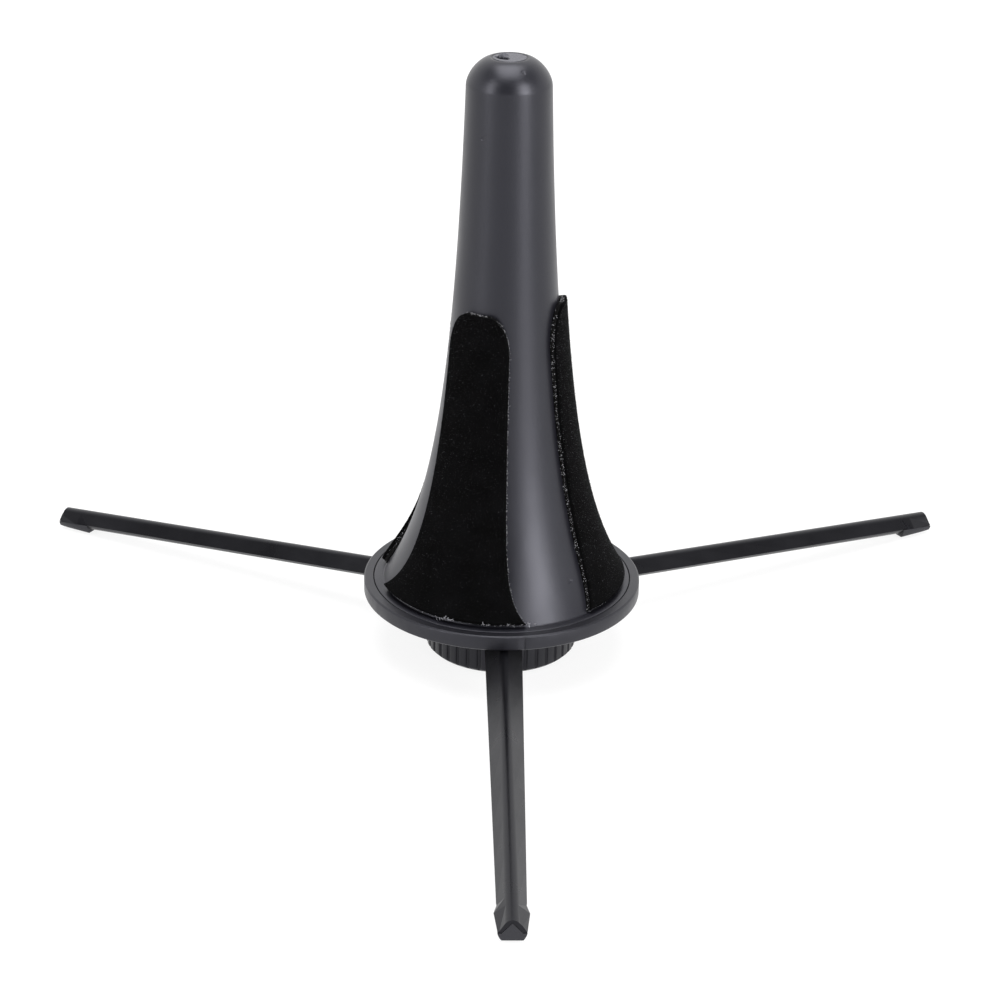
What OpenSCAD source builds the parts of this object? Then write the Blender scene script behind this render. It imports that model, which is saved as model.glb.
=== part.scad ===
// In-bell trumpet stand: a hollow bell-shaped peg on three legs that fold up and store inside it.
// The origin is on the peg's axis, at the surface the stand rests on. The front leg points along -Y.

/* [Peg] */
// Height of the peg above the flange's top face
peg_h = 146.5; // [130:0.5:170]
// Radius that the stem tends to near its top
stem_r = 9.4; // [9:0.1:12]
// Extra radius of the long flare, at the flange
long_flare = 17.2; // [14:0.1:19]
// Height over which the long flare falls to a third
long_decay = 61.4; // [55:0.2:70]
// Extra radius of the short flare, at the flange
short_flare = 5.9; // [3:0.1:7]
// Height over which the short flare falls to a third
short_decay = 16.5; // [12:0.5:20]
// Radius of the flat at the top of the domed tip
tip_flat_r = 4.8; // [3:0.1:6]
// Height of the dome under that flat
dome_h = 7.2; // [6:0.1:8]
// Thickness of the peg's wall
peg_wall = 2.2; // [1.6:0.1:2.6]

/* [Base plate] */
// Radius of the flange
flange_r = 38; // [37:0.25:42]
// Thickness of the flange at its rim
flange_t = 4.1; // [4:0.1:5]
// Height of the flange's underside above the floor
flange_z = 16.5; // [16.4:0.1:17]
// Thickness of the plate inside its rim
web_t = 1.3; // [1:0.1:1.4]
// Radius of the peg's own foot, which is let into the plate
foot_ring_r = 35.2; // [34:0.1:35.4]
// Thickness of the peg's foot
foot_ring_t = 0.9; // [0.7:0.1:1]
// Radius of the socket that the hub's neck screws into
socket_r = 16.3; // [16:0.1:16.8]

/* [Clamp knob] */
// Radius of the ribbed drum
knob_r = 20.7; // [20:0.1:22]
// Number of grip ribs round the drum
rib_count = 40; // [24:1:48]
// Height of the drum's underside above the floor
knob_z = 0.5; // [0.4:0.1:1]
// Width of each leg's slot
slot_w = 10.9; // [10.8:0.1:11.2]
// Radius of the clear well in the middle
well_r = 8.2; // [7.8:0.1:8.4]

/* [Legs] */
// Distance from the axis to the end of a leg
leg_reach = 150; // [140:1:165]
// Distance from the axis to a leg's hinge
hinge_r = 10; // [9.8:0.1:10.2]
// Height of the hinges above the floor
hinge_z = 10.5; // [10.4:0.05:10.6]
// Slope of an open leg below level, in degrees
leg_droop = 5.2; // [5.1:0.05:5.3]
// Height of a leg's ridge above its hinge
ridge_lift = 8; // [7.9:0.05:8.1]
// Width of a leg at the knob
leg_root_w = 10.3; // [9.5:0.1:10.3]
// Width of a leg just before its foot
leg_end_w = 7.2; // [6:0.05:8]
// Radius of the rounding along a leg's ridge
ridge_r = 2.2; // [1.6:0.1:2.6]
// Depth of a leg from its ridge to its rounded underside
leg_depth = 5.4; // [4.8:0.1:5.4]
// Radius of a hinge pin
pin_r = 1.25; // [1:0.05:1.4]

/* [Pads] */
// Thickness of the adhesive foam under the velvet
foam_t = 1.2; // [0.8:0.1:1.5]
// Thickness of the velvet with its pile
velvet_t = 0.9; // [0.6:0.1:1.2]
// Height of a pad's upper edge above the flange
pad_top = 81; // [60:1:100]
// Angle round the peg that a pad covers, in degrees
pad_span = 67; // [50:1:90]

/* [Hidden] */
// Azimuths count from the front leg, towards +X
LEGS = [0, -120, 120];
PADS = [-28, 84, 209];
SCREWS = [60, 180, 300];

fine = 96;
small = 32;
eps = 0.01;
gap = 0.3;
bore_gap = 0.05;

seat_z = flange_z + flange_t;
web_top = seat_z - foot_ring_t;
web_z = web_top - web_t;
rim_w = 2;
ring_gap = 0.15;
spigot_r = 28;
spigot_h = 3;
socket_wall = 2.2;
socket_top = 31;
witness_azimuth = 8.2;
witness_r = 0.25;
boss_r = 3;
boss_h = 13;
screw_ring = 22.5;
screw_r = 1.2;
screw_len = 9;
screw_head_r = 2.6;
screw_head_h = 1.4;

neck_r = 14.4;
crest_r = 15.2;
thread_pitch = 3;
neck_top = 29;
knob_top = flange_z - 0.4;
eye_r = 3.6;
slot_floor = hinge_z - eye_r - 0.5;
ledge_r = 14.8;
ledge_top = ridge_z(knob_r) - leg_depth / cos(leg_droop) - gap;
cover_r = 15;
cover_t = 1.8;
cover_top = knob_z + cover_t;
cover_screw_ring = 11.5;
cover_screw_r = 0.95;
cover_screw_len = 7;
cover_head_r = 1.9;
cover_head_h = 1.1;
pin_half = 8;
post_in = 5.8;
post_w = 2.3;

shoulder = 3.1;
root_end = 11;
wing_w = 8.7;
wing_x = 133.6;
wing_len = 3;
tip_w = 6.7;
foot_in = 140.2;
foot_land = 146.8;
pocket_depth = 0.6;
pocket_w = 5.1;
pocket_gap = 0.18;
eaves = 0.1;
lip_gap = 0.15;

body_top = peg_h - dome_h;

// Radius of the peg at height h above the flange, and its slope there
function peg_radius(h) =
    stem_r + long_flare * exp(-h / long_decay) + short_flare * exp(-h / short_decay);
function peg_slope(h) =
    -long_flare / long_decay * exp(-h / long_decay)
    - short_flare / short_decay * exp(-h / short_decay);
// Point a distance t out from the peg's surface, square to it
function skin(h, t) =
    let (n = norm([1, peg_slope(h)]))
    [peg_radius(h) + t / n, seat_z + h - t * peg_slope(h) / n];
// Heights that follow the flare closely at the foot and loosely up the stem
function heights(low, high, count) =
    [for (i = [0 : count]) low + (high - low) * pow(i / count, 1.5)];
// Height of an open leg's ridge at a distance from the axis
function ridge_z(r) =
    hinge_z + ridge_lift / cos(leg_droop) - (r - hinge_r) * tan(leg_droop);
// Points down the dome's shoulder from its flat, offset t inwards: fuller than a cone, flatter
// than a quarter ellipse
function dome(t, count) =
    let (swell = 1.22, run = peg_radius(body_top) - t - tip_flat_r)
    [for (i = [0 : count - 1]) let (a = 90 * i / count)
        [tip_flat_r + run * pow(sin(a), swell),
            seat_z + body_top + (dome_h - t) * pow(cos(a), swell)]];
function reversed(list) = [for (i = [len(list) - 1 : -1 : 0]) list[i]];
function arc(x, z, r, a, b, count) =
    [for (i = [0 : count]) let (t = a + (b - a) * i / count) [x + r * cos(t), z + r * sin(t)]];

// Turn from the front leg's place to azimuth a
module at_azimuth(a) {
    rotate([0, 0, a])
        children();
}

// Extrude a side outline, given as distance from the axis and height, w wide across the front leg
module side_plate(w) {
    translate([w / 2, 0, 0])
        rotate([90, 0, -90])
            linear_extrude(w)
                children();
}

module peg_shell() {
    outer = concat(
        [[0, web_top], [foot_ring_r - 0.1, web_top], [foot_ring_r, web_top + 0.1],
            [foot_ring_r, seat_z - 0.15], [foot_ring_r - 0.15, seat_z]],
        [for (h = heights(0, body_top, 24)) skin(h, 0)],
        reversed(dome(0, 7)));
    inner = concat(
        [[0, web_top - eps], [peg_radius(0) - peg_wall, web_top - eps]],
        [for (h = heights(0, body_top, 20)) [peg_radius(h) - peg_wall, seat_z + h]],
        reversed(dome(peg_wall, 5)));
    color("#4a4a4f")
    difference() {
        union() {
            difference() {
                rotate_extrude($fn = fine)
                    polygon(concat(outer, [[0, seat_z + peg_h]]));
                rotate_extrude($fn = fine)
                    polygon(concat(inner, [[0, seat_z + peg_h - peg_wall]]));
            }
            for (a = SCREWS)
                at_azimuth(a)
                    translate([0, -screw_ring, web_top])
                        cylinder(h = boss_h, r = boss_r, $fn = small);
        }
        for (a = SCREWS)
            at_azimuth(a)
                translate([0, -screw_ring, web_top - eps])
                    cylinder(h = boss_h - 2, r = screw_r + bore_gap, $fn = small);
    }
}

module base_plate() {
    bed = web_top - bore_gap;
    rim = [
        [socket_r, web_z], [flange_r - rim_w, web_z], [flange_r - rim_w, flange_z],
        [flange_r - 0.3, flange_z], [flange_r, flange_z + 0.3], [flange_r, seat_z - 0.4],
        [flange_r - 0.4, seat_z], [foot_ring_r + ring_gap + 0.15, seat_z],
        [foot_ring_r + ring_gap, seat_z - 0.15], [foot_ring_r + ring_gap, bed],
        [spigot_r, bed], [spigot_r - 0.3, bed + spigot_h], [spigot_r - 1.8, bed + spigot_h],
        [spigot_r - 1.8, bed], [socket_r + socket_wall, bed],
        [socket_r + socket_wall, socket_top], [socket_r, socket_top]
    ];
    color("#45454a")
    difference() {
        union() {
            rotate_extrude($fn = fine)
                polygon(rim);
            for (z = [web_top + 0.6 : thread_pitch : socket_top - 1.5])
                translate([0, 0, z])
                    socket_thread();
        }
        for (a = SCREWS)
            at_azimuth(a)
                translate([0, -screw_ring, web_z - eps])
                    cylinder(h = web_t + 2 * eps, r = screw_r + gap, $fn = small);
        rotate([0, 0, witness_azimuth])
            translate([0, -flange_r - witness_r / 2, flange_z - eps])
                cylinder(h = flange_t + 2 * eps, r = witness_r, $fn = 16);
    }
}

// One turn of the socket's thread, drawn as a plain ring
module socket_thread() {
    crest = crest_r + gap;
    rotate_extrude($fn = fine)
        polygon([[socket_r + 0.1, -0.1], [socket_r + 0.1, 1.3], [crest, 0.8], [crest, 0.4]]);
}

module plate_screws() {
    color("#2c2c2e")
    for (a = SCREWS)
        at_azimuth(a)
            translate([0, -screw_ring, web_z])
                pan_screw(screw_r, screw_len, screw_head_r, screw_head_h);
}

// Pan-head screw that points up, with its head under z = 0 and a cross recess
module pan_screw(r, length, head_r, head_h) {
    difference() {
        union() {
            cylinder(h = length, r = r, $fn = small);
            translate([0, 0, -head_h])
                cylinder(h = head_h, r1 = head_r * 0.8, r2 = head_r, $fn = small);
        }
        for (a = [0, 90])
            rotate([0, 0, a])
                translate([-head_r * 0.55, -head_r * 0.12, -head_h - eps])
                    cube([head_r * 1.1, head_r * 0.24, head_h * 0.55]);
    }
}

// One layer of a pad, from t0 to t1 out from the peg
module pad_layer(azimuth, t0, t1) {
    rows = heights(0.8, pad_top, 14);
    rotate([0, 0, azimuth - 90 - pad_span / 2])
        rotate_extrude(angle = pad_span, $fn = fine)
            polygon(concat([for (h = rows) skin(h, t0)], [for (h = reversed(rows)) skin(h, t1)]));
}

module pad_foam(i) {
    color("#2a2a2c")
        pad_layer(PADS[i], bore_gap, bore_gap + foam_t);
}

module pad_velvet(i) {
    color("#161616")
        pad_layer(PADS[i], bore_gap + foam_t, bore_gap + foam_t + velvet_t);
}

module clamp_knob() {
    groove_r = 0.55;
    color("#434348")
    difference() {
        union() {
            translate([0, 0, knob_z])
                knob_drum(knob_top - knob_z);
            translate([0, 0, knob_top - eps])
                cylinder(h = neck_top - knob_top, r = neck_r, $fn = fine);
            for (z = [knob_top + 2.6 : thread_pitch : neck_top - 1.5])
                translate([0, 0, z])
                    neck_thread();
        }
        for (i = [0 : rib_count - 1])
            rotate([0, 0, 360 * i / rib_count])
                translate([0, -knob_r, knob_z - eps])
                    cylinder(h = knob_top, r = groove_r, $fn = 16);
        translate([0, 0, cover_top])
            cylinder(h = neck_top, r = well_r, $fn = fine);
        translate([0, 0, knob_z - eps])
            cylinder(h = cover_t + eps, r = cover_r + gap, $fn = fine);
        for (a = LEGS)
            at_azimuth(a) {
                leg_slot();
                pin_seat();
            }
        for (a = SCREWS)
            at_azimuth(a)
                translate([0, -cover_screw_ring, cover_top - eps])
                    cylinder(h = cover_screw_len, r = cover_screw_r + bore_gap, $fn = small);
    }
}

module knob_drum(h) {
    edge = 0.8;
    rotate_extrude($fn = fine)
        polygon([[0, 0], [knob_r - edge, 0], [knob_r, edge], [knob_r, h - edge],
            [knob_r - edge, h], [0, h]]);
}

// One turn of the neck's thread, drawn as a plain ring
module neck_thread() {
    rotate_extrude($fn = fine)
        polygon([[neck_r - 0.1, -0.1], [crest_r, 0.4], [crest_r, 0.8], [neck_r - 0.1, 1.3]]);
}

// The slot that a leg lies in, with the ledge that it rests on
module leg_slot() {
    translate([-slot_w / 2, -ledge_r, slot_floor])
        cube([slot_w, ledge_r, neck_top]);
    translate([-slot_w / 2, -knob_r - 1, ledge_top])
        cube([slot_w, knob_r + 1, neck_top]);
}

// The grooves that a hinge pin's ends drop into from below
module pin_seat() {
    reach = pin_half + 0.15;
    width = 2 * (pin_r + bore_gap);
    translate([-reach, -hinge_r, hinge_z])
        rotate([0, 90, 0])
            cylinder(h = 2 * reach, r = pin_r + bore_gap, $fn = small);
    for (side = [-1, 1])
        translate([side * (slot_w / 2 + reach) / 2, -hinge_r, (cover_top + hinge_z) / 2])
            cube([reach - slot_w / 2 + 0.1, width, hinge_z - cover_top + 2 * eps], center = true);
}

module knob_cover() {
    post_h = hinge_z - pin_r - bore_gap - cover_top - 0.05;
    color("#3f3f44")
    difference() {
        union() {
            translate([0, 0, knob_z])
                cylinder(h = cover_t, r = cover_r, $fn = fine);
            for (a = LEGS, side = [-1, 1])
                at_azimuth(a)
                    translate([side * (post_in + post_w / 2), -hinge_r, cover_top + post_h / 2 - eps])
                        cube([post_w - 0.4, 2 * pin_r - 0.2, post_h], center = true);
        }
        for (a = SCREWS)
            at_azimuth(a)
                translate([0, -cover_screw_ring, knob_z - eps]) {
                    cylinder(h = cover_t + 1, r = cover_screw_r + 0.15, $fn = small);
                    cylinder(h = cover_head_h + 0.2, r = cover_head_r + 0.15, $fn = small);
                }
    }
}

module cover_screws() {
    color("#9a9a9c")
    for (a = SCREWS)
        at_azimuth(a)
            translate([0, -cover_screw_ring, knob_z + cover_head_h + 0.15])
                pan_screw(cover_screw_r, cover_screw_len, cover_head_r, cover_head_h);
}

module hinge_pin(i) {
    color("#b0b0b2")
    at_azimuth(LEGS[i])
        translate([-pin_half, -hinge_r, hinge_z])
            rotate([0, 90, 0])
                cylinder(h = 2 * pin_half, r = pin_r, $fn = small);
}

// The round ridge of a leg w wide, at y = 0, as far down as the slopes that it runs into
function ridge_arc(w) =
    let (drop = shoulder - ridge_r, reach = norm([w / 2, drop]))
    let (start = acos(ridge_r / reach) - atan2(drop, w / 2))
    arc(0, -ridge_r, ridge_r, start, 180 - start, 12);

// Cross-section of a leg w wide: a roof with a round ridge over a rounded underside
function leg_outline(w) =
    let (sag = leg_depth - shoulder, r = (w * w / 4 + sag * sag) / (2 * sag))
    let (half = asin(w / 2 / r))
    concat(ridge_arc(w), arc(0, r - leg_depth, r, -90 - half, -90 + half, 10));

// Put a section drawn in X and Y square across the front leg, x_along out from the hinge
module across_leg(x_along, thick) {
    translate([0, -x_along, ridge_lift])
        rotate([90, 0, 0])
            linear_extrude(thick)
                children();
}

// The part of a leg that turns in the knob: an eye round the pin, under the same roof
module leg_root() {
    crown = [[-2.2, ridge_lift - 0.2], [-2.9, 5.5], [-3.6, 2.5], [-3.6, 0]];
    belly = [[3.6, 0], [3.6, 1.6], [5.5, ridge_lift - leg_depth + 0.4], [13, 3.6], [13, ridge_lift],
        [-1, ridge_lift]];
    intersection() {
        side_plate(leg_root_w - 0.1)
            union() {
                polygon(concat(crown, belly));
                circle(r = eye_r, $fn = 48);
            }
        translate([0, 6, ridge_lift])
            rotate([90, 0, 0])
                linear_extrude(30)
                    offset(delta = -0.05) polygon(concat(ridge_arc(leg_root_w), [[-leg_root_w / 2, -shoulder],
                        [-leg_root_w / 2, -14], [leg_root_w / 2, -14],
                        [leg_root_w / 2, -shoulder]]));
    }
}

// Distance from the axis and height of a point x out and z up from the front leg's hinge
function on_leg(x, z) =
    [hinge_r + x * cos(leg_droop) + z * sin(leg_droop),
        hinge_z - x * sin(leg_droop) + z * cos(leg_droop)];

// Turn from level to the slope of the open front leg, about its hinge
module along_leg() {
    translate([0, -hinge_r, hinge_z])
        rotate([leg_droop, 0, 0])
            children();
}

// The taper of a leg, then the wings over its foot, as rings of its cross-section
module leg_beam() {
    taper_end = wing_x - wing_len;
    taper_steps = 8;
    taper = [for (i = [0 : taper_steps])
        [root_end + (taper_end - root_end) * i / taper_steps,
            leg_root_w + (leg_end_w - leg_root_w) * i / taper_steps]];
    stations = concat(taper, [[wing_x, wing_w], [wing_x + 8.5, tip_w]]);
    n = len(leg_outline(leg_root_w));
    last = n * (len(stations) - 1);
    points = [for (s = stations, q = leg_outline(s[1])) [q[0], -s[0], ridge_lift + q[1]]];
    sides = [for (k = [0 : n : last - 1], j = [0 : n - 1])
        let (here = k + j, next = k + (j + 1) % n)
            each [[here, here + n, next + n], [here, next + n, next]]];
    polyhedron(points, concat([[for (j = [0 : n - 1]) j]], sides,
        [[for (j = [n - 1 : -1 : 0]) last + j]]));
}

// Outline under a leg's roof, w wide, for the pocket and for the neck of the foot that plugs it
module pocket_section(top, w, bottom) {
    polygon([[0, -top], [w / 2, -shoulder], [w / 2, -bottom], [-w / 2, -bottom],
        [-w / 2, -shoulder]]);
}

// Everything beyond the end face of the front leg, which leans outwards
module past_the_end() {
    side_plate(20)
        polygon([[leg_reach - 0.4, 9], [leg_reach + 0.9, 0], [leg_reach + 0.9, -5],
            [leg_reach + 20, -5], [leg_reach + 20, 9]]);
}

module leg(i) {
    pocket_x = foot_in - hinge_r - lip_gap;
    pocket_len = 14;
    color("#4a4a4f")
    at_azimuth(LEGS[i])
        difference() {
            along_leg() {
                leg_root();
                leg_beam();
            }
            past_the_end();
            along_leg() {
                across_leg(pocket_x, pocket_len)
                    pocket_section(pocket_depth, pocket_w, 2 * shoulder);
                across_leg(pocket_x, pocket_len)
                    translate([-wing_w, -3 * shoulder])
                        square([2 * wing_w, 2 * shoulder + eaves]);
                translate([-leg_root_w, 0, 0])
                    rotate([0, 90, 0])
                        cylinder(h = 2 * leg_root_w, r = pin_r + bore_gap, $fn = small);
            }
        }
}

// Rubber foot: a neck in the leg's pocket over a lip with a level land at z = 0
module foot(i) {
    neck_x = foot_in - hinge_r;
    neck_len = 13;
    lip_arc = 3.55;
    lip_top = ridge_lift - shoulder - lip_gap;
    color("#38383b")
    at_azimuth(LEGS[i])
        difference() {
            union() {
                along_leg()
                    across_leg(neck_x, neck_len)
                        pocket_section(pocket_depth + pocket_gap, pocket_w - 2 * pocket_gap,
                            shoulder + 1);
                intersection() {
                    side_plate(2 * wing_w)
                        polygon([
                            on_leg(neck_x, lip_top), on_leg(neck_x + neck_len, lip_top),
                            [leg_reach + 2, 1], [leg_reach - 0.4, 0.6], [foot_land, 0],
                            [foot_in + 1.2, 0], [foot_in + 0.4, 0.35], [foot_in, 1.1]
                        ]);
                    translate([0, -foot_in + 1, lip_arc - 0.25])
                        rotate([90, 0, 0])
                            cylinder(h = neck_len + 2, r = lip_arc, $fn = 64);
                    linear_extrude(10)
                        foot_plan();
                }
            }
            past_the_end();
        }
}

// Outline of the foot's lip from above, which follows the wings of the leg
module foot_plan() {
    inner = leg_end_w / 2 + 0.15;
    wide = wing_w / 2 - 0.1;
    outer = tip_w / 2;
    polygon([[inner, -foot_in + 1], [inner, -foot_in], [wide, -foot_in - 2.6],
        [outer, -leg_reach - 2], [-outer, -leg_reach - 2], [-wide, -foot_in - 2.6],
        [-inner, -foot_in], [-inner, -foot_in + 1]]);
}

peg_shell();
base_plate();
plate_screws();
pad_foam(0);  // pad_foam_front
pad_foam(1);  // pad_foam_right
pad_foam(2);  // pad_foam_rear
pad_velvet(0);  // pad_velvet_front
pad_velvet(1);  // pad_velvet_right
pad_velvet(2);  // pad_velvet_rear
clamp_knob();
knob_cover();
cover_screws();
hinge_pin(0);  // hinge_pin_front
hinge_pin(1);  // hinge_pin_left
hinge_pin(2);  // hinge_pin_right
leg(0);  // leg_front
leg(1);  // leg_left
leg(2);  // leg_right
foot(0);  // foot_front
foot(1);  // foot_left
foot(2);  // foot_right
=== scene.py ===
import math
import random

import bmesh
import bpy
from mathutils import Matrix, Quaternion, Vector, noise


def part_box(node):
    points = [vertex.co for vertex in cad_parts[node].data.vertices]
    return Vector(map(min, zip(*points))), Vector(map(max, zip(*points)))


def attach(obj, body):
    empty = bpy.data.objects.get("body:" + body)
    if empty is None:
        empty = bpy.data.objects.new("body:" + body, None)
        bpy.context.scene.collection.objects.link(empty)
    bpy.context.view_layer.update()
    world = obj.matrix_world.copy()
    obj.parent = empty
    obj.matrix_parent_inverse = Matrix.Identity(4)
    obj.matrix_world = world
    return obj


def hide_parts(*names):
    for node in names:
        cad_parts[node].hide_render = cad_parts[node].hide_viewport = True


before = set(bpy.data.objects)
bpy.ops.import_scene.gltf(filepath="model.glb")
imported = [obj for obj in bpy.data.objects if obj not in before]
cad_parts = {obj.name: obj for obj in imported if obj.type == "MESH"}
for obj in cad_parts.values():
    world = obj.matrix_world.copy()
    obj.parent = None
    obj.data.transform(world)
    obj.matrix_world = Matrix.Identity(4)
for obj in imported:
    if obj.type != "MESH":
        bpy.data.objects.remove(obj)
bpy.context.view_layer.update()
mm = 0.001

# ---- Camera ----
# It stands in front of the stand, a little to the left of the front leg, and looks down at it
# through a long lens. The stand leans a little to the right in its view.
aim = Vector((0, 0, 53.9)) * mm
eye = Vector((-17, -680.5, 351.7)) * mm
lean = math.radians(0.9)
camera = bpy.data.objects.new("camera", bpy.data.cameras.new("camera"))
camera.data.lens = 98.5
camera.data.shift_x = -0.0034
camera.data.shift_y = -0.0362
camera.location = eye
camera.rotation_mode = "QUATERNION"
camera.rotation_quaternion = (aim - eye).to_track_quat("-Z", "Y") @ Quaternion((0, 0, 1), lean)
bpy.context.scene.collection.objects.link(camera)
bpy.context.scene.camera = camera


# ---- Studio ----
# A lit white table with a white backdrop behind it, under a dark ceiling. A tall strip softbox
# stands on each side, the stronger one on the right, and a large one hangs overhead.
def linear(hex_colour):
    """The linear RGBA of an sRGB colour written as #rrggbb."""
    parts = [int(hex_colour[i:i + 2], 16) / 255 for i in (1, 3, 5)]
    return [p / 12.92 if p <= 0.04045 else ((p + 0.055) / 1.055) ** 2.4 for p in parts] + [1]


def add_node(tree, kind, sockets=None, **settings):
    """Adds a node with its settings. A socket's value is a constant, or the output to link to it."""
    node = tree.nodes.new(kind)
    for name, value in settings.items():
        setattr(node, name, value)
    for name, value in (sockets or {}).items():
        if isinstance(value, bpy.types.NodeSocket):
            tree.links.new(value, node.inputs[name])
        else:
            node.inputs[name].default_value = value
    return node


def softbox(name, azimuth, height, distance, width, tall, watts, aim_at):
    """A rectangular light on the floor plan's azimuth from the front, turned to aim_at."""
    light = bpy.data.objects.new(name, bpy.data.lights.new(name, "AREA"))
    light.data.shape = "RECTANGLE"
    light.data.size = width
    light.data.size_y = tall
    light.data.energy = watts
    angle = math.radians(azimuth)
    light.location = (distance * math.sin(angle), -distance * math.cos(angle), height)
    light.rotation_mode = "QUATERNION"
    light.rotation_quaternion = (aim_at - light.location).to_track_quat("-Z", "Y")
    bpy.context.scene.collection.objects.link(light)


peg_middle = Vector((0, 0, 0.1))
softbox("softbox_right", azimuth=41, height=0.42, distance=1.1, width=0.46, tall=1.0, watts=15,
    aim_at=peg_middle)
softbox("softbox_left", azimuth=-54, height=0.52, distance=1.1, width=0.25, tall=1.0, watts=7,
    aim_at=peg_middle)
softbox("softbox_above", azimuth=0, height=2.5, distance=0.1, width=2.0, tall=2.2, watts=88,
    aim_at=Vector((0, 0, 0)))

bpy.context.scene.view_settings.view_transform = "Standard"

# The surround is white near the floor, and darkens upwards and towards the camera.
up_and_forward = (0, -0.6, 1)
world = bpy.data.worlds.new("studio")
bpy.context.scene.world = world
world.use_nodes = True
world.node_tree.nodes.clear()
sky = world.node_tree
direction = add_node(sky, "ShaderNodeTexCoord")
height_up = add_node(sky, "ShaderNodeVectorMath", {0: direction.outputs["Generated"],
    1: up_and_forward}, operation="DOT_PRODUCT")
fade = add_node(sky, "ShaderNodeMapRange", {"Value": height_up.outputs["Value"],
    "From Min": 0.3, "From Max": 0.8, "To Min": 1.6, "To Max": 0.03},
    interpolation_type="SMOOTHSTEP")
surround = add_node(sky, "ShaderNodeBackground", {"Strength": fade.outputs["Result"]})
add_node(sky, "ShaderNodeOutputWorld", {"Surface": surround.outputs["Background"]})

floor_mesh = bmesh.new()
floor_half = 6
bmesh.ops.create_grid(floor_mesh, x_segments=1, y_segments=1, size=floor_half)
floor = bpy.data.objects.new("floor", bpy.data.meshes.new("floor"))
floor_mesh.to_mesh(floor.data)
floor_mesh.free()
bpy.context.scene.collection.objects.link(floor)

# Opal acrylic lit from below: matt and so bright that it takes hardly any shadow
table_top = bpy.data.materials.new("opal_acrylic_lit")
table_top.use_nodes = True
opal = table_top.node_tree.nodes["Principled BSDF"]
opal.inputs["Base Color"].default_value = linear("#707070")
opal.inputs["Roughness"].default_value = 0.9
opal.inputs["Specular IOR Level"].default_value = 0.2
opal.inputs["Emission Color"].default_value = linear("#ffffff")
opal.inputs["Emission Strength"].default_value = 0.85
floor.data.materials.append(table_top)


# ---- Clamp knob and its cover ----
# The ribbed drum that the legs hang in, with the threaded neck that the peg screws on to, and the
# plate that closes it below, held by three screws. Both are injection-moulded ABS.
def moulded_abs(name, colour, roughness, grain=0.02, ior=1.5, nicks=0.0):
    """ABS from a spark-eroded mould: satin, with a fine grain, cloudy patches and a few nicks.

    Its grain and nicks are given as depths in millimetres.
    """
    material = bpy.data.materials.new(name)
    material.use_nodes = True
    tree = material.node_tree
    place = add_node(tree, "ShaderNodeTexCoord").outputs["Object"]
    # A real spark grain is some 0.05 mm, and is drawn as coarse as it needs to show.
    grain_size = 0.35 * mm
    cloud_size = 14 * mm
    nick_apart = 17 * mm
    nick_smear = 1.5 * mm
    nick_bend = 1.6 * mm
    patchy = 0.18
    gloss_swing = 0.04
    fine = add_node(tree, "ShaderNodeTexNoise", {"Vector": place, "Scale": 1 / grain_size,
        "Detail": 3, "Roughness": 0.6})
    cloud = add_node(tree, "ShaderNodeTexNoise", {"Vector": place, "Scale": 1 / cloud_size,
        "Detail": 4, "Roughness": 0.55})
    shade = add_node(tree, "ShaderNodeMix", {"Factor": cloud.outputs["Fac"],
        "A": [c * (1 - patchy) for c in linear(colour)[:3]] + [1],
        "B": [c * (1 + patchy) for c in linear(colour)[:3]] + [1]}, data_type="RGBA")
    gloss = add_node(tree, "ShaderNodeMapRange", {"Value": cloud.outputs["Fac"], "From Min": 0.3,
        "From Max": 0.7, "To Min": roughness - gloss_swing, "To Max": roughness + gloss_swing})
    skin = add_node(tree, "ShaderNodeBump", {"Height": fine.outputs["Fac"],
        "Strength": 1, "Distance": grain * mm})
    # Nicks are shallow spots round the points of a warped cell pattern, so no two look alike.
    if nicks:
        smear = add_node(tree, "ShaderNodeTexNoise", {"Vector": place, "Scale": 1 / nick_smear})
        wobble = add_node(tree, "ShaderNodeVectorMath", {0: smear.outputs["Color"],
            1: (nick_bend,) * 3}, operation="MULTIPLY")
        bent = add_node(tree, "ShaderNodeVectorMath", {0: place, 1: wobble.outputs["Vector"]},
            operation="ADD")
        cells = add_node(tree, "ShaderNodeTexVoronoi", {"Vector": bent.outputs["Vector"],
            "Scale": 1 / nick_apart})
        nick = add_node(tree, "ShaderNodeMapRange", {"Value": cells.outputs["Distance"],
            "From Min": 0.02, "From Max": 0.05})
        skin = add_node(tree, "ShaderNodeBump", {"Height": nick.outputs["Result"],
            "Distance": nicks * mm, "Normal": skin.outputs["Normal"]})
    surface = tree.nodes["Principled BSDF"]
    for socket, source in (("Base Color", shade.outputs["Result"]),
            ("Roughness", gloss.outputs["Result"]), ("Normal", skin.outputs["Normal"])):
        tree.links.new(source, surface.inputs[socket])
    surface.inputs["IOR"].default_value = ior
    surface.inputs["Specular Tint"].default_value = linear("#ececf8")
    return material


def finish_cad(node_name, material, round_edge=0.0):
    """Gives a CAD node its material, and softens its sharp edges by round_edge."""
    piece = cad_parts[node_name]
    piece.data.materials.clear()
    piece.data.materials.append(material)
    # The weld joins the CAD's loose triangles, so that the bevel finds their shared edges.
    if round_edge:
        weld = piece.modifiers.new("weld", "WELD")
        weld.merge_threshold = 0.002 * mm
        bevel = piece.modifiers.new("edge", "BEVEL")
        bevel.width = round_edge
        bevel.segments = 2
        bevel.limit_method = "ANGLE"
        bevel.angle_limit = math.radians(35)
        bevel.harden_normals = True


knob_abs = moulded_abs("black_abs_moulded", "#08080b", 0.40, ior=1.42)
for node in ("clamp_knob", "knob_cover"):
    finish_cad(node, knob_abs, 0.12 * mm)


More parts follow.
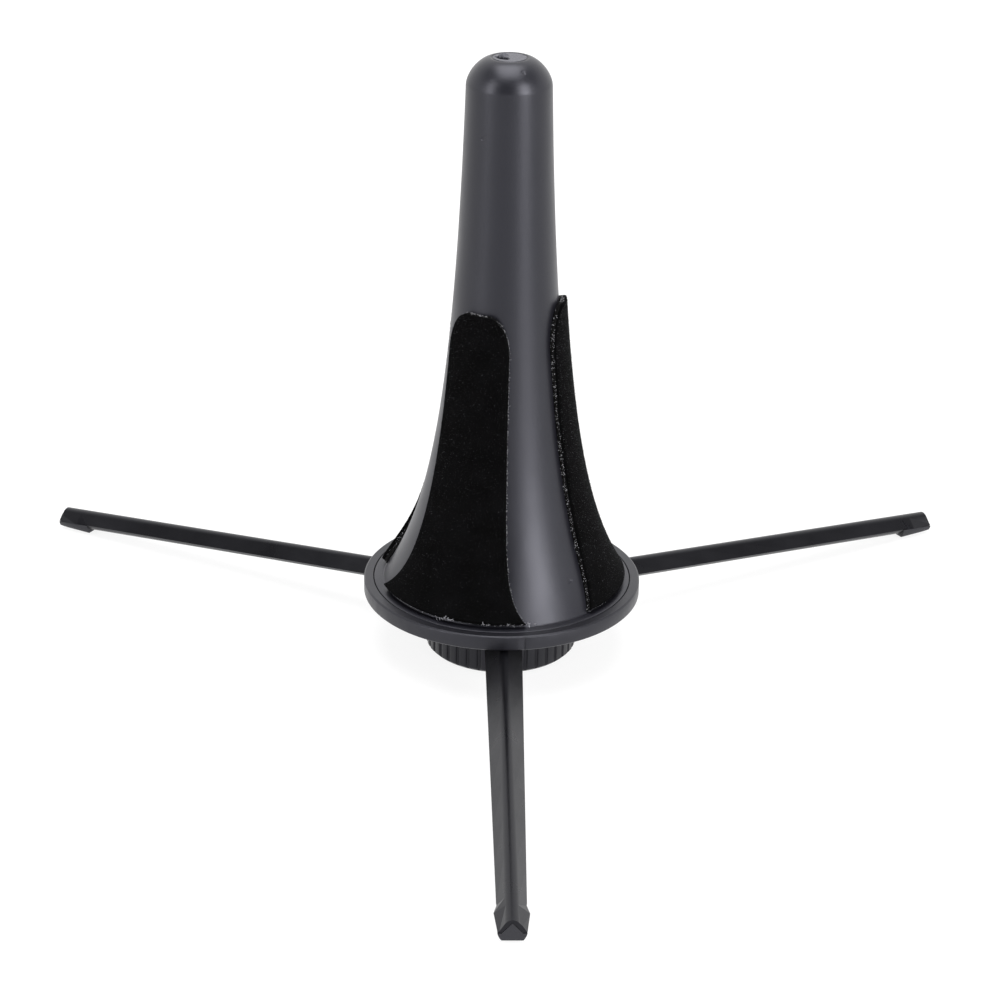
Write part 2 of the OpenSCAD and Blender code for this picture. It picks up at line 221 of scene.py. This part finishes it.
# ---- Screws and hinge pins ----
# Pan-head thread-forming screws of zinc-plated steel hold the cover and the base plate. The legs
# turn on ground steel pins that lie in grooves under the neck.
def steel(name, colour, roughness, mark_size):
    """Bare or plated steel: bright, with faint turning marks that vary its gloss."""
    material = bpy.data.materials.new(name)
    material.use_nodes = True
    tree = material.node_tree
    place = add_node(tree, "ShaderNodeTexCoord").outputs["Object"]
    marks = add_node(tree, "ShaderNodeTexNoise", {"Vector": place, "Scale": 1 / mark_size,
        "Detail": 4})
    gloss = add_node(tree, "ShaderNodeMapRange", {"Value": marks.outputs["Fac"],
        "To Min": roughness - 0.1, "To Max": roughness + 0.1})
    relief = add_node(tree, "ShaderNodeBump", {"Height": marks.outputs["Fac"],
        "Distance": 0.01 * mm})
    surface = tree.nodes["Principled BSDF"]
    surface.inputs["Base Color"].default_value = linear(colour)
    surface.inputs["Metallic"].default_value = 1
    tree.links.new(gloss.outputs["Result"], surface.inputs["Roughness"])
    tree.links.new(relief.outputs["Normal"], surface.inputs["Normal"])
    return material


zinc_plate = steel("steel_zinc_plated", "#a9abad", 0.35, 0.4 * mm)
pin_steel = steel("steel_ground", "#b9babb", 0.25, 0.15 * mm)
for node in ("cover_screws", "plate_screws"):
    finish_cad(node, zinc_plate)
for side in ("front", "left", "right"):
    finish_cad(f"hinge_pin_{side}", pin_steel)


# ---- Legs ----
# Three moulded ABS bars with a roof-shaped top and a rounded ridge. The mould was polished
# lengthwise, so they shine a little more than the peg, and their arrises are soft.
leg_abs = moulded_abs("black_abs_draw_polished", "#060608", 0.30, grain=0.012, ior=1.4)
for side in ("front", "left", "right"):
    finish_cad(f"leg_{side}", leg_abs, 0.25 * mm)


# ---- Feet ----
# Moulded rubber plugs under the legs' ends. The rubber is matt, with a coarser sparkle than ABS.
foot_rubber = moulded_abs("black_rubber_moulded", "#1d1d1f", 0.62, grain=0.05)
for side in ("front", "left", "right"):
    finish_cad(f"foot_{side}", foot_rubber, 0.12 * mm)


# ---- Base plate ----
# The round flange under the peg, moulded with the socket for the knob's neck. Its rim shows a
# witness line where the mould met.
plate_abs = moulded_abs("black_abs_satin", "#101014", 0.40)
finish_cad("base_plate", plate_abs, 0.2 * mm)


# ---- Peg ----
# One thin-walled ABS moulding, a long horn on a foot ring, closed at the top by a dome. It was
# broken off its gate at the middle of the dome, which left a pit beside a small torn flap.
peg_low, peg_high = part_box("peg_shell")
foot_ring = peg_high.x
foot_low = peg_low.z
peg_top = peg_high.z
seat = foot_low + 0.9 * mm
wall = 2.2 * mm
dome_h = 7.2 * mm
flat_r = 4.8 * mm
stem_r = 9.4 * mm
long_flare, long_reach = 17.2 * mm, 61.4 * mm
short_flare, short_reach = 5.9 * mm, 16.5 * mm


def horn(h):
    """Radius of the peg at height h above the flange: a stem and two flares that die away."""
    return stem_r + long_flare * math.exp(-h / long_reach) + short_flare * math.exp(-h / short_reach)


def spread(low, high, count):
    """Heights from low to high that lie closer together at the bottom."""
    return [low + (high - low) * (i / count) ** 1.5 for i in range(count + 1)]


def new_piece(name, mesh, material):
    """Turns a bmesh into an object with smooth faces and one material."""
    piece = bpy.data.objects.new(name, bpy.data.meshes.new(name))
    for face in mesh.faces:
        face.smooth = True
    mesh.to_mesh(piece.data)
    mesh.free()
    piece.data.materials.append(material)
    bpy.context.scene.collection.objects.link(piece)
    return piece


def dome(inward, count):
    """Points down the dome's shoulder from its flat, inward by some thickness."""
    swell = 1.22
    run = horn(body_h) - inward - flat_r
    angles = [math.pi / 2 * i / count for i in range(count)]
    return [(flat_r + run * math.sin(t) ** swell,
        seat + body_h + (dome_h - inward) * math.cos(t) ** swell) for t in angles]


body_h = peg_top - dome_h - seat
inner = [(horn(h) - wall, seat + h) for h in spread(0, body_h, 40)] + dome(wall, 12)[::-1]
outer = dome(0, 24)
outer += [(horn(h), seat + h) for h in reversed(spread(0, body_h, 90))]
edge = 0.15 * mm
ring = [(horn(0) + 0.3 * mm, seat - 0.01 * mm), (foot_ring - edge, seat),
    (foot_ring - edge * 0.3, seat - edge * 0.3), (foot_ring, seat - edge),
    (foot_ring, foot_low), (horn(0) - wall, foot_low)]
disc_rings = 30
disc = [(flat_r * (1 - i / disc_rings), peg_top) for i in range(1, disc_rings + 1)]
outline = [(0, peg_top - wall)] + list(reversed(inner)) + list(reversed(ring))
outline += list(reversed(outer)) + disc
peg_mesh = bmesh.new()
profile = [peg_mesh.verts.new((r, 0, z)) for r, z in outline]
lines = [peg_mesh.edges.new(pair) for pair in zip(profile, profile[1:])]
bmesh.ops.spin(peg_mesh, geom=profile + lines, cent=(0, 0, 0), axis=(0, 0, 1),
    angle=math.tau, steps=160, use_merge=True, use_duplicate=False)
bmesh.ops.remove_doubles(peg_mesh, verts=peg_mesh.verts[:], dist=0.001 * mm)
bmesh.ops.recalc_face_normals(peg_mesh, faces=peg_mesh.faces[:])

# The gate's scar on the dome's flat: a moulded groove round it, a pit, and a flap beside the pit
scar_r = 4.5 * mm
sheared_r = 4.3 * mm
groove_r, groove_w, groove_depth = 4.6 * mm, 0.16 * mm, 0.25 * mm
pit_at = Vector((-1.9, -0.7, 0)) * mm
pit_along = Vector((0.76, -0.65, 0))
pit_depth = 2.0 * mm
flap_at = Vector((-1.6, 1.3, 0)) * mm
flap_along = Vector((0.9, 0.43, 0))
flap_height = 0.8 * mm


def bump_at(p, centre, along, long_r, short_r):
    """1 at centre, falling to 0 at the rim of an ellipse whose long axis lies along a direction."""
    d = p - centre
    across = Vector((-along.y, along.x, 0))
    reach = math.hypot(d.dot(along) / long_r, d.dot(across) / short_r)
    return max(0, 1 - reach * reach)


for vertex in peg_mesh.verts:
    if vertex.co.z > peg_top - 0.4 * mm:
        flat = Vector((vertex.co.x, vertex.co.y, 0))
        rough = noise.noise(flat / (0.7 * mm)) + 0.5 * noise.noise(flat / (0.3 * mm))
        groove = math.exp(-((flat.length - groove_r) / groove_w) ** 2)
        shaken = flat + Vector((rough, rough, 0)) * 0.25 * mm
        pit = min(1, 2.5 * bump_at(shaken, pit_at, pit_along, 2.3 * mm, 1.25 * mm))
        flap = bump_at(flat, flap_at, flap_along, 1.7 * mm, 0.7 * mm)
        lift = flap_height * flap * (1 + 0.5 * rough) - groove_depth * groove - pit_depth * pit
        if flat.length < scar_r:
            lift += 0.07 * mm * rough
        vertex.co.z += lift
for face in peg_mesh.faces:
    middle = face.calc_center_median()
    if middle.z > peg_top - 0.25 * mm and middle.xy.length < sheared_r:
        face.material_index = 1

# Where the gate was torn off, the plastic is paler and rougher than its moulded skin.
peg_abs = moulded_abs("black_abs_moulded_satin", "#111116", 0.37, nicks=0.12)
sheared_abs = moulded_abs("black_abs_sheared", "#4a4a4f", 0.45, grain=0.06)
peg = new_piece("peg", peg_mesh, peg_abs)
peg.data.materials.append(sheared_abs)
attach(peg, "peg")
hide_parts("peg_shell")


# ---- Pads ----
# Three die-cut pads that keep the bell off the plastic: black nylon velvet on a dark closed-cell
# foam with an adhesive back, stuck on by hand. Their cut edges show pale frayed threads and fluff.
pad_thick = 2.1 * mm
foam_thick = 1.2 * mm
glue = 0.05 * mm


def on_peg(azimuth, h, lift):
    """The point lift above the peg's skin, at an azimuth from the front and a height."""
    slope = (horn(h + 0.1 * mm) - horn(h - 0.1 * mm)) / (0.2 * mm)
    steep = math.hypot(1, slope)
    radius = horn(h) + lift / steep
    angle = math.radians(azimuth)
    height = seat + h - lift * slope / steep
    return Vector((radius * math.sin(angle), -radius * math.cos(angle), height))


class Pad:
    """Where one pad lies: its two side edges at each height, with a splayed foot and round corners."""

    def __init__(self, name, left, right, low, high, foot_left, foot_right, corner, widen):
        self.name = name
        self.left, self.right = left, right
        self.low, self.high = low, high
        self.foot_left, self.foot_right = foot_left, foot_right
        self.corner = corner
        self.widen = widen

    def edges(self, h):
        """The azimuths of the left and the right edge at height h."""
        splay_reach = 6 * mm
        splay = math.exp(-(h - self.low) / splay_reach)
        widen = self.widen * (h / self.high) ** 3
        left = self.left - self.foot_left * splay - widen
        right = self.right + self.foot_right * splay + widen
        corner_from = self.high - self.corner
        if h > corner_from:
            t = min(1, (h - corner_from) / self.corner)
            pull = 1 - math.sqrt(max(0, 1 - t * t))
            half = (right - left) / 2
            left += half * 0.7 * pull
            right -= half * 0.7 * pull
        return left, right

    def point(self, x, y, lift):
        """The point at x from -1 to 1 between the edges and y from 0 to 1 up the pad."""
        h = self.low + (self.high - self.low) * y
        left, right = self.edges(h)
        return on_peg(left + (right - left) * (x + 1) / 2, h, lift)

    def from_edge(self, x, y):
        """Distance in metres from there to the nearest edge."""
        h = self.low + (self.high - self.low) * y
        left, right = self.edges(h)
        arc = math.radians(right - left) / 2 * horn(h)
        return min((1 - abs(x)) * arc, h - self.low, self.high - h)


pads = [
    Pad("front", left=-60.5, right=1.0, low=0.4 * mm, high=81.0 * mm,
        foot_left=14, foot_right=9.5, corner=11 * mm, widen=3),
    Pad("right", left=50.5, right=117, low=0.2 * mm, high=81.5 * mm,
        foot_left=7, foot_right=8, corner=12 * mm, widen=0),
    Pad("rear", left=177, right=240, low=0.4 * mm, high=81 * mm,
        foot_left=12, foot_right=20, corner=11 * mm, widen=1),
]


def pad_layer(pad, low, high, inset, columns, rows, soft, pile):
    """A closed sheet over the peg, from low to high above it, inset from the pad's outline.

    Its top rounds off within a distance of soft from its edge, and its tufts stand pile high.
    """
    crowding = 1.4
    half_wide, half_tall = 14 * mm, 40 * mm
    mesh = bmesh.new()
    bmesh.ops.create_grid(mesh, x_segments=columns, y_segments=rows, size=1)
    upper = bmesh.ops.extrude_face_region(mesh, geom=mesh.faces[:], use_keep_orig=True)
    top = {v for v in upper["geom"] if isinstance(v, bmesh.types.BMVert)}
    for vertex in mesh.verts:
        x = math.sin(vertex.co.x * crowding) / math.sin(crowding)
        y = (1 + math.sin(vertex.co.y * crowding) / math.sin(crowding)) / 2
        trim = 1 - inset / half_wide
        x *= trim
        y = 0.5 + (y - 0.5) * (1 - inset / half_tall)
        lift = low
        if vertex in top:
            edge_near = pad.from_edge(x / trim, y) / soft
            round_off = math.sqrt(max(0, 1 - (1 - min(1, edge_near)) ** 2))
            spot = pad.point(x, y, low)
            tuft = noise.noise(spot / (0.55 * mm)) + 0.7 * noise.noise(spot / (0.23 * mm))
            lift = low + (high - low) * (0.25 + 0.75 * round_off) + pile * tuft
        vertex.co = pad.point(x, y, lift)
    bmesh.ops.recalc_face_normals(mesh, faces=mesh.faces[:])
    return mesh


def velvet():
    """Nylon velvet: a pile so deep that it is black from in front and greys a little edge-on."""
    material = bpy.data.materials.new("nylon_velvet_black")
    material.use_nodes = True
    tree = material.node_tree
    place = add_node(tree, "ShaderNodeTexCoord").outputs["Object"]
    # Real pile is some 0.02 mm thick, so its tufts are drawn and not its single fibres.
    pile_size = 0.30 * mm
    brushed_size = 6 * mm
    tufts = add_node(tree, "ShaderNodeTexNoise", {"Vector": place, "Scale": 1 / pile_size,
        "Detail": 4, "Roughness": 0.7})
    brushed = add_node(tree, "ShaderNodeTexNoise", {"Vector": place, "Scale": 1 / brushed_size,
        "Detail": 3})
    both = add_node(tree, "ShaderNodeMath", {0: tufts.outputs["Fac"], 1: brushed.outputs["Fac"]},
        operation="MULTIPLY")
    shade = add_node(tree, "ShaderNodeMapRange", {"Value": both.outputs["Value"],
        "From Min": 0.1, "From Max": 0.45})
    colour = add_node(tree, "ShaderNodeMix", {"Factor": shade.outputs["Result"],
        "A": linear("#010101"), "B": linear("#070708")}, data_type="RGBA")
    relief = add_node(tree, "ShaderNodeBump", {"Height": tufts.outputs["Fac"],
        "Distance": 0.12 * mm})
    surface = tree.nodes["Principled BSDF"]
    surface.inputs["Roughness"].default_value = 0.95
    surface.inputs["Specular IOR Level"].default_value = 0.04
    surface.inputs["Sheen Weight"].default_value = 0.012
    surface.inputs["Sheen Roughness"].default_value = 0.5
    surface.inputs["Sheen Tint"].default_value = linear("#8a8a90")
    tree.links.new(colour.outputs["Result"], surface.inputs["Base Color"])
    tree.links.new(relief.outputs["Normal"], surface.inputs["Normal"])
    return material


def foam():
    """Closed-cell foam at the cut: matt and nearly black, pitted, with greyer flecks of adhesive."""
    material = bpy.data.materials.new("closed_cell_foam_cut")
    material.use_nodes = True
    tree = material.node_tree
    place = add_node(tree, "ShaderNodeTexCoord").outputs["Object"]
    cell_size = 0.5 * mm
    fleck_size = 0.6 * mm
    cells = add_node(tree, "ShaderNodeTexVoronoi", {"Vector": place, "Scale": 1 / cell_size})
    flecks = add_node(tree, "ShaderNodeTexNoise", {"Vector": place, "Scale": 1 / fleck_size,
        "Detail": 3, "Roughness": 0.7})
    pale = add_node(tree, "ShaderNodeMapRange", {"Value": flecks.outputs["Fac"],
        "From Min": 0.52, "From Max": 0.62})
    colour = add_node(tree, "ShaderNodeMix", {"Factor": pale.outputs["Result"],
        "A": linear("#040404"), "B": linear("#111112")}, data_type="RGBA")
    relief = add_node(tree, "ShaderNodeBump", {"Height": cells.outputs["Distance"],
        "Distance": 0.1 * mm})
    surface = tree.nodes["Principled BSDF"]
    surface.inputs["Roughness"].default_value = 0.85
    surface.inputs["Specular IOR Level"].default_value = 0.1
    tree.links.new(colour.outputs["Result"], surface.inputs["Base Color"])
    tree.links.new(relief.outputs["Normal"], surface.inputs["Normal"])
    return material


def fibre(mesh, points, width):
    """A three-sided thread through points, which tapers to its end."""
    start = Vector(points[0])
    along = (Vector(points[1]) - start).normalized()
    side = along.orthogonal().normalized() * width / 2
    other = along.cross(side)
    base = [mesh.verts.new(start + p) for p in (side, other - side * 0.5, -other - side * 0.5)]
    mesh.faces.new(base)
    for point in points[1:-1]:
        ring = [mesh.verts.new(v.co + Vector(point) - start) for v in base]
        for i in range(3):
            mesh.faces.new((base[i - 1], base[i], ring[i], ring[i - 1]))
        start = Vector(point)
        base = ring
    tip = mesh.verts.new(points[-1])
    for i in range(3):
        mesh.faces.new((base[i - 1], base[i], tip))


def thread(name, colour):
    """Nylon thread: dull, and of an uneven grey from one fibre to the next."""
    material = bpy.data.materials.new(name)
    material.use_nodes = True
    tree = material.node_tree
    place = add_node(tree, "ShaderNodeTexCoord").outputs["Object"]
    uneven_size = 1.5 * mm
    uneven = add_node(tree, "ShaderNodeTexNoise", {"Vector": place, "Scale": 1 / uneven_size})
    shade = add_node(tree, "ShaderNodeMix", {"Factor": uneven.outputs["Fac"],
        "A": [c * 0.6 for c in linear(colour)[:3]] + [1],
        "B": [min(1, c * 1.4) for c in linear(colour)[:3]] + [1]}, data_type="RGBA")
    surface = tree.nodes["Principled BSDF"]
    surface.inputs["Roughness"].default_value = 0.7
    tree.links.new(shade.outputs["Result"], surface.inputs["Base Color"])
    return material


def cut_pile(pad):
    """The mesh of one pad's pile: short fibres that lean at random, with a wider one now and then in a
    paler colour, a painted glint.
    """
    fibre_count = 9000
    faces_of_fibre = 4
    mesh = bmesh.new()
    for i in range(fibre_count):
        x, y = random.uniform(-0.99, 0.99), random.uniform(0.005, 0.995)
        root = pad.point(x, y, pad_thick - 0.1 * mm)
        out = (pad.point(x, y, pad_thick) - pad.point(x, y, 0)).normalized()
        lean_by = Vector([random.gauss(0, 0.35) for _ in range(3)])
        length = random.uniform(0.25, 0.45) * mm
        width = (0.12 if i % painted_glint_every == 0 else 0.06) * mm
        fibre(mesh, (root, root + (out + lean_by) * length), width)
    mesh.faces.index_update()
    for face in mesh.faces:
        # The wider fibres take the second, paler material: painted glints that stand in for light
        # caught on the pile.
        face.material_index = int(face.index // faces_of_fibre % painted_glint_every == 0)
    return mesh


def frayed_threads(pad):
    """The mesh of the loose threads round one pad's cut edge, most of them down its two sides."""
    thread_count = 900
    mesh = bmesh.new()
    for i in range(thread_count):
        along = random.random()
        if along < 0.43:
            x, y = -1, random.random()
        elif along < 0.86:
            x, y = 1, random.random()
        elif along < 0.95:
            x, y = random.uniform(-1, 1), 0
        else:
            x, y = random.uniform(-1, 1), 1
        lift = glue + foam_thick * random.uniform(0.1, 1.1)
        root = pad.point(x, y, lift)
        past_edge = pad.point(x * 1.02, y + (y - 0.5) * 0.02, lift)
        outward = (past_edge - pad.point(x * 0.98, y, lift)).normalized()
        stray = Vector([random.gauss(0, 0.8) for _ in range(3)])
        length = random.uniform(0.05, 0.3) * mm
        bend = root + (outward * 0.6 + stray) * length * 0.5
        width = random.uniform(0.05, 0.17) * mm
        fibre(mesh, (root, bend, bend + (outward * 0.3 + stray * 0.7) * length), width)
    return mesh


velvet_black = velvet()
foam_black = foam()
pile_black = thread("nylon_pile_black", "#09090a")
fray_grey = thread("nylon_backing_frayed", "#8c8c90")
# The paler pile colour is painted glint, standing in for light caught on the pile's tips.
painted_glint_grey = thread("nylon_pile_painted_glint", "#37373b")
painted_glint_every = 9
foam_top = glue + foam_thick
random.seed(7)
for pad in pads:
    foam_sheet = pad_layer(pad, glue, foam_top, inset=0, columns=48, rows=120,
        soft=0.15 * mm, pile=0)
    backing = new_piece(f"pad_foam_cut_{pad.name}", foam_sheet, foam_black)
    velvet_sheet = pad_layer(pad, foam_top, glue + pad_thick, inset=0.15 * mm, columns=110,
        rows=210, soft=0.55 * mm, pile=0.05 * mm)
    face = new_piece(f"pad_velvet_face_{pad.name}", velvet_sheet, velvet_black)
    fuzz = new_piece(f"pad_pile_{pad.name}", cut_pile(pad), pile_black)
    # The fibres' second material is the painted glint.
    fuzz.data.materials.append(painted_glint_grey)
    fray = new_piece(f"pad_fray_{pad.name}", frayed_threads(pad), fray_grey)
    for piece in (backing, face, fuzz, fray):
        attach(piece, "peg")
    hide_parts(f"pad_foam_{pad.name}")
    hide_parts(f"pad_velvet_{pad.name}")


# ---- Lint ----
# Loose curls of pale nylon fluff from the cutting, caught under the bottom edge of the front pad.
lint_grey = thread("nylon_lint", "#8f8f94")
lint_mesh = bmesh.new()
curls_each = 9
for azimuth in (-29, -25, -7, 2, 11):
    for i in range(curls_each):
        around = azimuth + random.gauss(0, 1.6)
        spot = on_peg(around, 0.4 * mm, random.uniform(1.6, 2.6) * mm)
        curl = [Vector([random.gauss(0, 0.25) for _ in range(3)]) * mm for _ in range(3)]
        path = [spot, spot + curl[0], spot + curl[0] + curl[1], spot + sum(curl, Vector())]
        fibre(lint_mesh, path, 0.14 * mm)
lint = new_piece("pad_lint", lint_mesh, lint_grey)
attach(lint, "peg")
